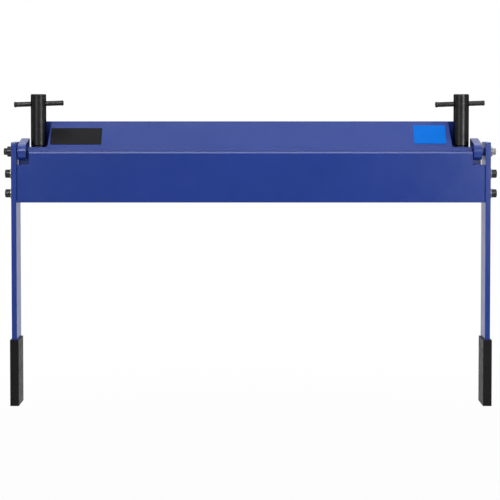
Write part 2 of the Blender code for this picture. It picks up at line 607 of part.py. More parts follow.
def main():
    for old in list(bpy.data.objects):
        bpy.data.objects.remove(old, do_unlink=True)

    blue = paint("blue_paint", (0.040, 0.065, 0.260), 0.45)
    dark_steel = paint("black_oxide_steel", (0.030, 0.031, 0.034), 0.42, 0.85)
    bright_steel = paint("zinc_steel", (0.42, 0.43, 0.46), 0.35, 1.0)
    spring_steel = paint("spring_steel", (0.25, 0.25, 0.27), 0.35, 1.0)
    rubber = paint("black_grip", (0.012, 0.012, 0.013), 0.6)

    bend_line = empty("bend_line", (0, -BENCH_FACE_Y, BED_THICKNESS))
    leaf_axis = empty("leaf_axis", (LEAF_OFFSET_X, 0, 0), bend_line)
    clamp_lift = empty("clamp_lift", (0, STUD_Y, 0), bend_line)
    clamp_frame = empty("clamp_frame", (0, -STUD_Y, 0), clamp_lift)

    make_bed(bend_line, blue)
    make_clamp_angle(clamp_frame, blue)
    make_clamp_face(clamp_frame, blue)
    make_leaf(leaf_axis, blue)

    spacers = {"left": LEFT_SPACER_THICKNESS, "right": RIGHT_SPACER_THICKNESS}
    washers = {"left": LEFT_PIVOT_WASHER_THICKNESS, "right": RIGHT_PIVOT_WASHER_THICKNESS}
    shifts = {"left": LEFT_TOMMY_SHIFT, "right": RIGHT_TOMMY_SHIFT}
    nut_steels = {"left": dark_steel, "right": bright_steel}
    for word, side in SIDES:
        make_lug(word, side, bend_line, blue)
        make_stud_block(word, side, bend_line, blue)
        make_stud(word, side, bend_line, bright_steel)
        make_spring(word, side, bend_line, spring_steel)
        make_pivot(word, side, spacers[word], washers[word], bend_line, bright_steel, blue, nut_steels[word])
        nut_axis = empty(word + "_nut_axis", (side * STUD_X, 0, 0), clamp_lift)
        make_thrust_washer(word, nut_axis, dark_steel)
        make_clamp_nut(word, nut_axis, dark_steel)
        make_tommy_bar(word, shifts[word], nut_axis, dark_steel)
        make_handle(word, side, leaf_axis, blue)
        make_grip(word, side, leaf_axis, rubber)
        for level, screw_z in SCREW_LEVELS.items():
            make_handle_screw(word, side, level, screw_z, leaf_axis, dark_steel)
            make_screw_washer(word, side, level, screw_z, leaf_axis, bright_steel)


main()
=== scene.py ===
# %% [markdown]
# # A sheet metal bending machine in Blender
# A folder of this kind is fixed to the edge of a bench. The sheet lies on the bed, the sloped
# clamp bar holds it down, and the leaf in front swings up on two long handles to bend it. The
# measured solids are loaded first, and every step of this lesson then gives one piece or one
# finish its real surface, at the place that the solids give.

# %% Load the measured model
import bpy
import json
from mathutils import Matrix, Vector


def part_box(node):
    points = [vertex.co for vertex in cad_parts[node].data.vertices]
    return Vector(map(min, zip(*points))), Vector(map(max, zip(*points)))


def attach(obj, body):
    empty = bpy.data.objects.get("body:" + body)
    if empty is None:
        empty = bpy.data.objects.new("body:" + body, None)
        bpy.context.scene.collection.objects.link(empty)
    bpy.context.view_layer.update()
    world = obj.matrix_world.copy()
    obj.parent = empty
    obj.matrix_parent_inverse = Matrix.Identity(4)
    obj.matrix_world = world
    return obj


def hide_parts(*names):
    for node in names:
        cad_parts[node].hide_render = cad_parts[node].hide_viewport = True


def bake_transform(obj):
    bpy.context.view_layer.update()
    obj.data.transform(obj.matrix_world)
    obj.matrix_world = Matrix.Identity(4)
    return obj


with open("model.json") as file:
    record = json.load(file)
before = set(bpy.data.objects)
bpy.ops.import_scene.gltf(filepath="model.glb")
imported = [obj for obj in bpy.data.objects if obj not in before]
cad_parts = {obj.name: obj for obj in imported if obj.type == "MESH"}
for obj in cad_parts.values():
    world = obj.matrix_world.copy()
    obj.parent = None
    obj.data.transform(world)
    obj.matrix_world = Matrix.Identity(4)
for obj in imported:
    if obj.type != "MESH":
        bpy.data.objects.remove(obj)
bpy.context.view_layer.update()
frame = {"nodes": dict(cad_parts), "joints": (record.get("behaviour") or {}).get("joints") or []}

# %% The modules and a few words used all the way through
import json
import math
import bpy
from mathutils import Vector

MM = 0.001
SIDES = {"left": -1, "right": 1}
scene = bpy.context.scene
print("sides:", *SIDES)

# %% [markdown]
# ## The camera
# The photograph was taken from straight in front with a long lens, a little above the bed. The
# camera could be tilted down until the machine sits in the frame, but then the handles would
# lean together. A view camera stays nearly level and shifts its lens, so the same is done here.

# %% Camera
CAMERA_PLACE = (0.0003, -2.744, 0.0984)
LOOKS_DOWN = 1.8
bpy.ops.object.camera_add(location=CAMERA_PLACE)
camera = bpy.context.object
camera.name = "camera"
camera.rotation_euler = (math.radians(90 - LOOKS_DOWN), 0, 0)
camera.data.lens = 100
camera.data.sensor_width = 36
camera.data.shift_y = -0.2030
camera.data.clip_end = 100
scene.camera = camera
scene.view_settings.view_transform = "Standard"
print("camera at", tuple(camera.location))

# %% [markdown]
# ## The studio's white
# A catalogue picture has a white sweep behind and below. Very strong lamps could bleach it
# white, but they would bleach the paint too. So the sweep is white only to the camera and in
# reflections, and its own light stays at a plain level. Behind the camera a studio is darker,
# and that is what keeps black steel black, so reflections see less white on that side.

# %% Helpers for node trees
def combine(tree, operation, first, second):
    """A Math node. Each input may be a number or another node's output."""
    node = tree.nodes.new("ShaderNodeMath")
    node.operation = operation
    for socket, value in zip(node.inputs, (first, second)):
        if isinstance(value, (int, float)):
            socket.default_value = value
        else:
            tree.links.new(value, socket)
    return node.outputs[0]


def remap(tree, value, low, high, start, end):
    """Maps the range from start to end onto low to high, and holds the value at both ends."""
    node = tree.nodes.new("ShaderNodeMapRange")
    node.inputs["From Min"].default_value = start
    node.inputs["From Max"].default_value = end
    node.inputs["To Min"].default_value = low
    node.inputs["To Max"].default_value = high
    tree.links.new(value, node.inputs["Value"])
    return node


def seen_directly(tree):
    """A value that is 1 for rays from the camera, mirrors and glass, and 0 for light itself."""
    path = tree.nodes.new("ShaderNodeLightPath").outputs
    sharp = combine(tree, "MAXIMUM", path["Is Glossy Ray"], path["Is Transmission Ray"])
    return combine(tree, "MAXIMUM", path["Is Camera Ray"], sharp)


DIM_SIDE = 0.15


def dim_in_front(tree, depth, start, end):
    """1 behind the machine and for the camera's own rays, and little on the camera's side."""
    dimmed = remap(tree, depth, DIM_SIDE, 1, start, end).outputs["Result"]
    camera_ray = tree.nodes.new("ShaderNodeLightPath").outputs["Is Camera Ray"]
    return combine(tree, "MAXIMUM", dimmed, camera_ray)


def blend_shaders(tree, share, first, second, output):
    """Sends a mixture of two shaders to the tree's output node."""
    mixture = tree.nodes.new("ShaderNodeMixShader")
    tree.links.new(share, mixture.inputs[0])
    tree.links.new(first.outputs[0], mixture.inputs[1])
    tree.links.new(second.outputs[0], mixture.inputs[2])
    tree.links.new(mixture.outputs[0], tree.nodes[output].inputs["Surface"])


# %% World
SKY_FILL = 0.24
SKY_TINT = (0.93, 0.96, 1.0, 1)
WHITE = (1, 1, 1, 1)
world = bpy.data.worlds.new("studio")
world.use_nodes = True
scene.world = world
sky = world.node_tree
fill = sky.nodes["Background"]
fill.inputs["Color"].default_value = SKY_TINT
fill.inputs["Strength"].default_value = SKY_FILL
direction = sky.nodes.new("ShaderNodeTexCoord")
split = sky.nodes.new("ShaderNodeSeparateXYZ")
sky.links.new(direction.outputs["Generated"], split.inputs[0])
sweep = sky.nodes.new("ShaderNodeBackground")
sweep.inputs["Color"].default_value = WHITE
sky.links.new(dim_in_front(sky, split.outputs["Y"], -0.35, 0.30), sweep.inputs["Strength"])
blend_shaders(sky, seen_directly(sky), fill, sweep, "World Output")
print("sky fill:", SKY_FILL)

# %% [markdown]
# The floor is a very wide disc of white paper, far below a machine that hangs its handles free.
# Close to the machine it keeps a little of its own shading, so the shadow stays on it, and
# further out it fades into the white of the sweep.

# %% Floor
FLOOR_Z = -0.82
FLOOR_RADIUS = 30
bpy.ops.object.select_all(action="DESELECT")
bpy.ops.mesh.primitive_circle_add(
    vertices=96, radius=FLOOR_RADIUS, fill_type="NGON", location=(0, 0, FLOOR_Z))
floor = bpy.context.object
floor.name = "floor"
print("floor at", FLOOR_Z)

# %% White paper
PAPER = (0.86, 0.86, 0.86, 1)
LEAST_GLOW = 0.93
FADE_START, FADE_END = 0.5, 2.6
paper = bpy.data.materials.new("white studio paper")
paper.use_nodes = True
tree = paper.node_tree
matt = tree.nodes["Principled BSDF"]
matt.inputs["Base Color"].default_value = PAPER
matt.inputs["Roughness"].default_value = 0.9
matt.inputs["Specular IOR Level"].default_value = 0.2
spot = tree.nodes.new("ShaderNodeTexCoord").outputs["Object"]
along = tree.nodes.new("ShaderNodeSeparateXYZ")
tree.links.new(spot, along.inputs[0])
glow = tree.nodes.new("ShaderNodeEmission")
tree.links.new(dim_in_front(tree, along.outputs["Y"], -2.5, -0.3), glow.inputs["Strength"])
far = tree.nodes.new("ShaderNodeVectorMath")
far.operation = "LENGTH"
tree.links.new(spot, far.inputs[0])
fade = remap(tree, far.outputs["Value"], LEAST_GLOW, 1, FADE_START, FADE_END)
fade.interpolation_type = "SMOOTHSTEP"
share = combine(tree, "MULTIPLY", fade.outputs["Result"], seen_directly(tree))
blend_shaders(tree, share, matt, glow, "Material Output")
floor.data.materials.append(paper)
print("finish:", paper.name)

# %% [markdown]
# ## Lamps
# The photograph shows what its lamps were. Two upright stripes on the round steel come from two
# strip lamps, a strong one near the machine on the right and a weak one on the left. The bright
# spots on the hinge lugs come from two small lamps in front. A softbox lights the sloped face
# from above, and another one straight over the machine gives the leaf's edge its pale line.

# %% Softboxes
BEND_LINE = Vector((0, -0.054, 0))


def softbox(name, location, width, height, power):
    """A rectangular lamp that faces the bend line."""
    bpy.ops.object.light_add(type="AREA", location=location)
    lamp = bpy.context.object
    lamp.name = name
    lamp.data.shape = "RECTANGLE"
    lamp.data.size = width
    lamp.data.size_y = height
    lamp.data.energy = power
    lamp.rotation_euler = (BEND_LINE - Vector(location)).to_track_quat("-Z", "Y").to_euler()
    print(name, "watts:", power)


# Each lamp has its place, width, height and watts.
softbox("overhead_softbox", (0, -1.15, 1.8), 2.8, 0.8, 11.5)
softbox("top_softbox", (0, -0.1, 2.2), 2.9, 0.5, 21)
softbox("left_front_lamp", (-0.775, -2.12, 0.86), 0.5, 0.35, 13)
softbox("right_front_lamp", (0.775, -2.12, 0.86), 0.5, 0.35, 5.5)
softbox("right_strip", (1.0, -1.25, 0.02), 0.34, 0.45, 6.2)
softbox("left_strip", (-1.31, -1.9, 0.02), 0.4, 0.7, 3.2)
softbox("rear_softbox", (0, 1.3, 2.1), 2.4, 0.7, 24)

# %% [markdown]
# ## Helpers for modelling by hand
# An operator acts on whatever is selected, so each helper first selects its own piece. A turned
# piece could be a stack of cylinders, but a ring that is extruded and resized along a profile
# gives one clean skin, as on a lathe. Edges of real steel are never razor sharp, so a small
# bevel goes round every piece, and weighted normals keep its flats flat.

# %% Selecting and applying
def take(piece):
    """Selects one piece and nothing else."""
    if bpy.context.object is not None and bpy.context.object.mode != "OBJECT":
        bpy.ops.object.mode_set(mode="OBJECT")
    bpy.ops.object.select_all(action="DESELECT")
    piece.select_set(True)
    bpy.context.view_layer.objects.active = piece


def apply_all(piece):
    """Applies every modifier in turn."""
    take(piece)
    for modifier in list(piece.modifiers):
        bpy.ops.object.modifier_apply(modifier=modifier.name)


def edit(piece, mode="VERT", selected=False):
    """Edit mode on one piece, with everything or nothing selected."""
    take(piece)
    bpy.ops.object.mode_set(mode="EDIT")
    bpy.ops.mesh.select_mode(type=mode)
    bpy.ops.mesh.select_all(action="SELECT" if selected else "DESELECT")


def pick(piece, mode, wanted):
    """Edit mode with the vertices, edges or faces selected that a test says yes to."""
    edit(piece, mode)
    bpy.ops.object.mode_set(mode="OBJECT")
    parts = {"VERT": piece.data.vertices, "EDGE": piece.data.edges, "FACE": piece.data.polygons}
    for part in parts[mode]:
        part.select = wanted(part)
    bpy.ops.object.mode_set(mode="EDIT")


def done():
    """Back to object mode."""
    bpy.ops.object.mode_set(mode="OBJECT")


# %% Cleaning, shading and softening
MERGE = 0.002 * MM
NEARLY_FLAT = math.radians(0.4)


def face_outwards():
    """In edit mode: turns all faces outwards, and leaves edit mode."""
    bpy.ops.mesh.select_all(action="SELECT")
    bpy.ops.mesh.normals_make_consistent(inside=False)
    done()


def clean_skin():
    """In edit mode: merges points, joins flat triangles into whole faces and leaves edit mode."""
    bpy.ops.mesh.select_all(action="SELECT")
    bpy.ops.mesh.remove_doubles(threshold=MERGE)
    bpy.ops.mesh.dissolve_limited(angle_limit=NEARLY_FLAT)
    face_outwards()


def even_shading(piece, angle=42):
    """Smooth shading below an angle, with the normals weighted so that flats stay flat."""
    take(piece)
    bpy.ops.object.shade_smooth_by_angle(angle=math.radians(angle))
    weighted = piece.modifiers.new("even shading", "WEIGHTED_NORMAL")
    weighted.keep_sharp = True
    apply_all(piece)


def soften(piece, radius, segments=2, over=30):
    """A small radius on every edge that is sharper than an angle, and even shading."""
    bevel = piece.modifiers.new("edge radius", "BEVEL")
    bevel.width = radius
    bevel.segments = segments
    bevel.limit_method = "ANGLE"
    bevel.angle_limit = math.radians(over)
    apply_all(piece)
    even_shading(piece)


# %% Laying a piece in its place
def lay(piece, rotation, location):
    """Turns and moves a piece, and puts its place in its mesh."""
    take(piece)
    piece.rotation_euler = rotation
    piece.location = location
    bpy.ops.object.transform_apply(location=True, rotation=True, scale=True)
    return piece


def copy_to(master, name, rotation, location):
    """A copy with a mesh of its own, laid in its place."""
    piece = bpy.data.objects.new(name, master.data.copy())
    scene.collection.objects.link(piece)
    return lay(piece, rotation, location)


UNTURNED = (0, 0, 0)


def outwards(side):
    """The rotation that lays a piece made along Z on a line across, pointing away from the bed."""
    return (0, side * math.pi / 2, 0)


def middle_of(node):
    low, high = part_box(node)
    return (low + high) / 2


def axis_of(node):
    """The place of a node's upright axis, at the bench's height."""
    middle = middle_of(node)
    return (middle.x, middle.y, 0)


def reach_of(node):
    """The distances from the bed's middle, across, at which a node begins and ends."""
    low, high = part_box(node)
    return sorted((abs(low.x), abs(high.x)))


def dress(piece, body, material, slot, *nodes):
    """Gives a piece its finish, the body that it moves with and the solids that it stands for."""
    piece.data.materials.clear()
    piece.data.materials.append(material)
    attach(piece, body)
    if nodes:
        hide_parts(*nodes)
    print(piece.name, "faces:", len(piece.data.polygons))


# %% Turning a profile, and cutting
def turn(name, profile, segments=64, closed=False):
    """A ring extruded and resized along a profile of (radius, height)."""
    bpy.ops.object.select_all(action="DESELECT")
    radius, height = profile[0]
    bpy.ops.mesh.primitive_circle_add(vertices=segments, radius=radius, location=(0, 0, height))
    piece = bpy.context.object
    piece.name = name
    bpy.ops.object.transform_apply(location=True, rotation=True, scale=True)
    edit(piece, "VERT", True)
    steps = profile[1:] + ([profile[0]] if closed else [])
    for next_radius, next_height in steps:
        rise = (0, 0, next_height - height)
        bpy.ops.mesh.extrude_region_move(TRANSFORM_OT_translate={"value": rise})
        grow = next_radius / radius
        bpy.ops.transform.resize(value=(grow, grow, 1), center_override=(0, 0, next_height))
        radius, height = next_radius, next_height
    if not closed:
        bpy.ops.mesh.edge_face_add()
        bpy.ops.mesh.select_all(action="DESELECT")
        bpy.ops.mesh.select_non_manifold()
        bpy.ops.mesh.edge_face_add()
    bpy.ops.mesh.select_all(action="SELECT")
    bpy.ops.mesh.remove_doubles(threshold=MERGE)
    face_outwards()
    return piece


def washer(name, inner, outer, low, high):
    """A flat ring between two radii and two heights."""
    piece = turn(name, [(inner, low), (outer, low), (outer, high), (inner, high)], 64, True)
    soften(piece, 0.25 * MM)
    return piece


def cut(piece, cutter, operation="DIFFERENCE"):
    """Cuts one piece with another, and removes the cutter."""
    boolean = piece.modifiers.new("cut", "BOOLEAN")
    boolean.operation = operation
    boolean.solver = "EXACT"
    boolean.object = cutter
    apply_all(piece)
    bpy.data.objects.remove(cutter)


# %% [markdown]
# ## Finishes
# Each finish is a node material that reads Object coordinates, so its grain has a real size in
# metres. Noise drives the bump, the roughness and a slight drift of the colour. A picture could
# be wrapped round the pieces instead, but noise has no seams and no repeat.

# %% A new finish and its noise
def new_finish(name, colour, roughness, metallic=0.0, specular=0.5):
    """A material with plain values, which noise can replace later."""
    material = bpy.data.materials.new(name)
    material.use_nodes = True
    shader = material.node_tree.nodes["Principled BSDF"].inputs
    shader["Base Color"].default_value = (*colour, 1)
    shader["Roughness"].default_value = roughness
    shader["Metallic"].default_value = metallic
    shader["Specular IOR Level"].default_value = specular
    return material


def noise(material, scale, detail=2.0, stretch=(1, 1, 1)):
    """A cloud of so many grains to the metre, which can be squeezed along an axis."""
    tree = material.node_tree
    mapping = tree.nodes.new("ShaderNodeMapping")
    mapping.inputs["Scale"].default_value = stretch
    cloud = tree.nodes.new("ShaderNodeTexNoise")
    cloud.inputs["Scale"].default_value = scale
    cloud.inputs["Detail"].default_value = detail
    place = tree.nodes.new("ShaderNodeTexCoord")
    tree.links.new(place.outputs["Object"], mapping.inputs["Vector"])
    tree.links.new(mapping.outputs["Vector"], cloud.inputs["Vector"])
    return cloud.outputs["Fac"]


def spread(material, value, low, high, start=0.35, end=0.65):
    """Maps a value to a range. The defaults take the middle of a noise."""
    return remap(material.node_tree, value, low, high, start, end).outputs["Result"]


# %% Colour and bump
def mix(material, factor, first, second):
    """A colour between two colours. Each may be a colour or another node's output."""
    tree = material.node_tree
    node = tree.nodes.new("ShaderNodeMix")
    node.data_type = "RGBA"
    tree.links.new(factor, node.inputs["Factor"])
    for socket, colour in zip(node.inputs[6:8], (first, second)):
        if isinstance(colour, tuple):
            socket.default_value = (*colour, 1)
        else:
            tree.links.new(colour, socket)
    return node.outputs[2]


def send(material, output, socket):
    """Sends a value to one of the finish's own inputs."""
    shader = material.node_tree.nodes["Principled BSDF"]
    material.node_tree.links.new(output, shader.inputs[socket])


def emboss(material, height, depth):
    """Bumps the skin by a depth in metres, where a value is high."""
    bump = material.node_tree.nodes.new("ShaderNodeBump")
    bump.inputs["Distance"].default_value = depth
    material.node_tree.links.new(height, bump.inputs["Height"])
    send(material, bump.outputs["Normal"], "Normal")


# %% Paler edges: painted highlight and wear
def edge_highlight_and_wear(material, radius, most):
    """Near its most on edges and 0 on flats, broken up by noise: a painted edge highlight and wear.
    """
    tree = material.node_tree
    rounded = tree.nodes.new("ShaderNodeBevel")
    rounded.samples = 4
    rounded.inputs["Radius"].default_value = radius
    surface = tree.nodes.new("ShaderNodeNewGeometry")
    likeness = tree.nodes.new("ShaderNodeVectorMath")
    likeness.operation = "DOT_PRODUCT"
    tree.links.new(rounded.outputs["Normal"], likeness.inputs[0])
    tree.links.new(surface.outputs["Normal"], likeness.inputs[1])
    edge = spread(material, likeness.outputs["Value"], most, 0, 0.80, 0.99)
    patches = spread(material, noise(material, 140, 4), 0, 1, 0.42, 0.62)
    return combine(tree, "MULTIPLY", edge, patches)


# %% [markdown]
# ## Blue machine enamel
# The plates are sprayed with a violet blue enamel. It is semi-gloss, with a fine orange peel
# that a low bump gives, and its tone drifts a little over a long plate. The edges are painted paler:
# partly paint that pulls thin there, partly a painted highlight along every edge.

# %% Enamel
BLUE = (0.010, 0.036, 0.24)
DEEPER_BLUE = (0.0075, 0.0345, 0.230)
LIGHTER_BLUE = (0.0105, 0.0385, 0.250)
# Paler blue for the edges: thin paint there, and a painted edge highlight.
THIN_PAINT_AND_HIGHLIGHT = (0.055, 0.085, 0.31)
PEEL_DEPTH = 0.025 * MM
enamel = new_finish("blue machine enamel", BLUE, 0.3)
drift = spread(enamel, noise(enamel, 5.5, 3), 0, 1)
tone = mix(enamel, drift, DEEPER_BLUE, LIGHTER_BLUE)
# The paler edges are a painted edge highlight, mixed with paint that pulls thin there.
send(enamel, mix(enamel, edge_highlight_and_wear(enamel, 0.9 * MM, 0.3), tone, THIN_PAINT_AND_HIGHLIGHT), "Base Color")
send(enamel, spread(enamel, noise(enamel, 38, 3), 0.275, 0.315), "Roughness")
emboss(enamel, noise(enamel, 620, 2), PEEL_DEPTH)
print("finish:", enamel.name)

# %% [markdown]
# ## Steel finishes
# The clamp screws are turned steel with a black oxide skin, which is dark but still a metal: it
# keeps a soft shine along its length, and its edges don't flash white as plastic would, so the
# tint of its edges is kept low. Turning leaves fine rings, so the noise is squeezed along the
# axis. The studs, the plain washers and the right pivot's nut are zinc plated, and the springs
# are drawn wire.

# %% Black oxide, zinc and spring wire
RING_DEPTH = 0.003 * MM


def steel_finish(name, dark, light, smooth, dull, rings, edge_tint):
    """Bare steel between two tones and two roughnesses, with rings squeezed along an axis."""
    steel = new_finish(name, light, smooth, 1.0)
    tint = steel.node_tree.nodes["Principled BSDF"].inputs["Specular Tint"]
    tint.default_value = (edge_tint, edge_tint, edge_tint, 1)
    tone = mix(steel, spread(steel, noise(steel, 90, 4), 0, 1), dark, light)
    bright = tuple(min(1.0, channel * 2.2 + 0.02) for channel in light)
    send(steel, mix(steel, edge_highlight_and_wear(steel, 0.5 * MM, 0.5), tone, bright), "Base Color")
    send(steel, spread(steel, noise(steel, 160, 3), smooth, dull), "Roughness")
    emboss(steel, noise(steel, 420, 2, rings), RING_DEPTH)
    return steel


UPRIGHT = (0.15, 0.15, 6)
ACROSS = (6, 0.15, 0.15)
EVENLY = (1, 1, 1)
BLACK = ((0.038, 0.038, 0.039), (0.048, 0.048, 0.049))
black_sleeve = steel_finish("black oxide, turned upright", *BLACK,
                            smooth=0.33, dull=0.38, rings=UPRIGHT, edge_tint=0.12)
black_bar = steel_finish("black oxide, turned across", *BLACK,
                         smooth=0.26, dull=0.34, rings=ACROSS, edge_tint=0.12)
ZINC = ((0.22, 0.225, 0.235), (0.32, 0.325, 0.34))
zinc = steel_finish("bright zinc plate", *ZINC,
                    smooth=0.26, dull=0.40, rings=ACROSS, edge_tint=0.8)
WIRE_GREY = ((0.16, 0.16, 0.17), (0.27, 0.27, 0.28))
spring_wire = steel_finish("drawn spring wire", *WIRE_GREY,
                           smooth=0.30, dull=0.42, rings=EVENLY, edge_tint=0.8)
print("finishes:", black_sleeve.name, black_bar.name, zinc.name, spring_wire.name)

# %% [markdown]
# ## Black grips and the two thin plates
# The grips are soft black plastic, matt with a fine pebble. The two thin plates on the clamp bar
# are sheet, one anodised black and one lacquered azure.

# %% Plastic, black sheet and azure sheet
def coated_finish(name, dark, light, drift_scale, smooth, dull, grain, grain_depth, specular):
    """A plastic or lacquered skin whose tone drifts slowly and whose grain is fine."""
    coat = new_finish(name, light, smooth, 0.0, specular)
    drift = spread(coat, noise(coat, drift_scale, 4), 0, 1)
    send(coat, mix(coat, drift, dark, light), "Base Color")
    send(coat, spread(coat, noise(coat, 2.5 * drift_scale, 3), smooth, dull), "Roughness")
    emboss(coat, noise(coat, grain, 2), grain_depth)
    return coat


GRIP_BLACK = ((0.0035, 0.0031, 0.0036), (0.0065, 0.0060, 0.0066))
grip_plastic = coated_finish("black grip plastic", *GRIP_BLACK, drift_scale=30,
                             smooth=0.46, dull=0.58, grain=850, grain_depth=0.06 * MM, specular=0.20)
SHEET_BLACK = ((0.0030, 0.0030, 0.0045), (0.0055, 0.0052, 0.0065))
black_sheet = coated_finish("black anodised sheet", *SHEET_BLACK, drift_scale=25,
                            smooth=0.34, dull=0.46, grain=500, grain_depth=0.01 * MM, specular=0.15)
AZURE = ((0.0008, 0.140, 0.60), (0.0018, 0.155, 0.65))
azure_sheet = coated_finish("azure lacquered sheet", *AZURE, drift_scale=22,
                            smooth=0.34, dull=0.44, grain=500, grain_depth=0.01 * MM, specular=0.06)
print("finishes:", grip_plastic.name, black_sheet.name, azure_sheet.name)

# %% [markdown]
# ## The painted plates
# Bed, lugs, clamp bar, leaf and handles are sawn and welded steel section, and their solids
# already have the right shape. They could be modelled again, but a copy of each solid is
# quicker and exact. The copy is merged, its flat triangles are dissolved into whole faces, and
# its edges get the small radius that paint leaves. The leaf's top front edge is filed to a flat
# at 45 degrees, and this flat shows as the pale line under the clamp bar.

# %% Copying and softening the plates
def merged_copy(node, name):
    """A copy of a solid's mesh, cleaned to whole faces."""
    piece = bpy.data.objects.new(name, frame["nodes"][node].data.copy())
    scene.collection.objects.link(piece)
    take(piece)
    bpy.ops.mesh.customdata_custom_splitnormals_clear()
    edit(piece)
    clean_skin()
    return piece


FILED_FLAT = 3.0 * MM


def file_top_edge(plate, size):
    """Files the top front edge of the leaf to a flat at 45 degrees."""
    low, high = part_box("leaf_plate")
    edit(plate, "VERT", True)
    start = (0, low.y, high.z - size)
    bpy.ops.mesh.bisect(plane_co=start, plane_no=(0, -1, 1), use_fill=True, clear_outer=True)
    clean_skin()


# Each solid, its body and the radius of its edges in millimetres.
PLATES = (
    ("bed_angle", "bed", 0.6),
    ("left_hinge_lug", "bed", 0.6),
    ("right_hinge_lug", "bed", 0.6),
    ("left_stud_block", "bed", 0.5),
    ("right_stud_block", "bed", 0.5),
    ("left_pivot_spacer", "bed", 0.2),
    ("right_pivot_spacer", "bed", 0.2),
    ("clamp_angle", "clamp_bar", 0.4),
    ("leaf_plate", "leaf", 0.45),
    ("left_handle", "leaf", 0.5),
    ("right_handle", "leaf", 0.5),
)
for node, body, radius in PLATES:
    plate = merged_copy(node, node + "_painted")
    if node == "leaf_plate":
        file_top_edge(plate, FILED_FLAT)
    soften(plate, radius * MM, 3)
    dress(plate, body, enamel, "blue_paint", node)

# %% [markdown]
# ## The sloped face of the clamp bar
# The sloped plate is welded along its foot and its top, and the real bar shows one skin from
# the nose to the ridge. The solids keep a hair's breadth between them, so the copy's foot is
# moved down the slope to close it, and the ridge gets a thin rounded bead.

# %% Sloped face and ridge
face = merged_copy("clamp_face", "clamp_face_painted")
face_low, face_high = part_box("clamp_face")
angle_low, angle_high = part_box("clamp_angle")
FOOT_GAP = 0.33 * MM
NOSE_FLAT = 0.5 * MM
NOSE = Vector((0, angle_low.y, angle_low.z + NOSE_FLAT))
RIDGE = Vector((0, face_high.y, angle_high.z))
slope = (RIDGE - NOSE).normalized()
pick(face, "VERT", lambda vertex: vertex.co.z < face_low.z + 0.01 * MM)
bpy.ops.transform.translate(value=tuple(-FOOT_GAP * slope))
done()
soften(face, 0.4 * MM, 3)
dress(face, "clamp_bar", enamel, "blue_paint", "clamp_face")

BEAD = 0.9 * MM
BEAD_END = 1.5 * MM
BEAD_STOP = 4.5 * MM
BEAD_BACK = 0.15 * MM
BEAD_SINK = 0.8 * MM
half = face_high.x - BEAD_STOP
profile = [(BEAD / 3, -half), (BEAD, BEAD_END - half), (BEAD, half - BEAD_END), (BEAD / 3, half)]
ridge = turn("ridge_weld", profile, 24)
even_shading(ridge)
lay(ridge, (0, math.pi / 2, 0), (0, face_high.y + BEAD_BACK, angle_high.z - BEAD_SINK))
dress(ridge, "clamp_bar", enamel, "blue_paint")

# %% [markdown]
# ## Weld beads
# The lugs and the blocks for the screws are welded to the bed, and the paint covers the welds.
# A bead could be a plain rod, but a weld is laid in small pools, so its radius swells and
# shrinks along the profile that is turned. Half of the rod lies inside the steel.

# %% Beads
POOL = 2.4 * MM
RIPPLE = 0.08


def weld_bead(name, start, end, radius):
    """A rippled rod between two points, with round ends."""
    line = Vector(end) - Vector(start)
    steps = round(line.length / POOL) * 4
    profile = []
    for step in range(steps + 1):
        along = line.length * step / steps
        near_end = min(along, line.length - along) / radius
        round_end = math.sqrt(max(0.02, 1 - max(0.0, 1 - near_end) ** 2))
        ripple = 1 - RIPPLE + RIPPLE * math.cos(2 * math.pi * along / POOL)
        profile.append((radius * round_end * ripple, along))
    bead = turn(name, profile, 20)
    even_shading(bead, 80)
    lay(bead, line.to_track_quat("Z", "Y").to_euler(), start)
    dress(bead, "bed", enamel, "blue_paint")


INSET = 2.5 * MM
LUG_BEAD = 2.4 * MM
BLOCK_BEAD = 2.2 * MM
bed_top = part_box("bed_angle")[1].z
for word, side in SIDES.items():
    low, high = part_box(word + "_hinge_lug")
    ends = (low.x + INSET, high.y, bed_top), (high.x - INSET, high.y, bed_top)
    weld_bead(word + "_lug_weld", *ends, LUG_BEAD)
    low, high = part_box(word + "_stud_block")
    inner = high.x if side < 0 else low.x
    ends = (inner, low.y + INSET, high.z), (inner, high.y - INSET, high.z)
    weld_bead(word + "_block_side_weld", *ends, BLOCK_BEAD)
    ends = (low.x + INSET, high.y, high.z), (high.x - INSET, high.y, high.z)
    weld_bead(word + "_block_rear_weld", *ends, BLOCK_BEAD)

# %% [markdown]
# ## The two thin plates
# A black plate and an azure plate sit on the sloped face. Each starts as a flat square, its
# corners are bevelled round, it is extruded to the thickness of the sheet, and it is laid on the
# slope.

# %% Plates on the slope
SHEET = 0.8 * MM
SHEET_CORNER = 1.5 * MM
GLUE = 0.02 * MM


def slope_plate(name, across, up, material, slot):
    """A thin plate between two places across and two distances up the slope from the nose."""
    low_x, high_x = across
    low_along, high_along = up
    bpy.ops.object.select_all(action="DESELECT")
    bpy.ops.mesh.primitive_plane_add(size=1, location=(0, 0, 0))
    plate = bpy.context.object
    plate.name = name
    plate.scale = (high_x - low_x, high_along - low_along, 1)
    bpy.ops.object.transform_apply(location=True, rotation=True, scale=True)
    edit(plate, "VERT", True)
    bpy.ops.mesh.bevel(offset=SHEET_CORNER, segments=6, affect="VERTICES")
    bpy.ops.mesh.select_all(action="SELECT")
    bpy.ops.mesh.extrude_region_move(TRANSFORM_OT_translate={"value": (0, 0, SHEET)})
    face_outwards()
    soften(plate, 0.2 * MM, 2, 50)
    lean = math.atan2(slope.z, slope.y)
    out = Vector((0, -slope.z, slope.y))
    centre = NOSE + slope * (low_along + high_along) / 2 + out * GLUE
    lay(plate, (lean, 0, 0), ((low_x + high_x) / 2, centre.y, centre.z))
    dress(plate, "clamp_bar", material, slot)


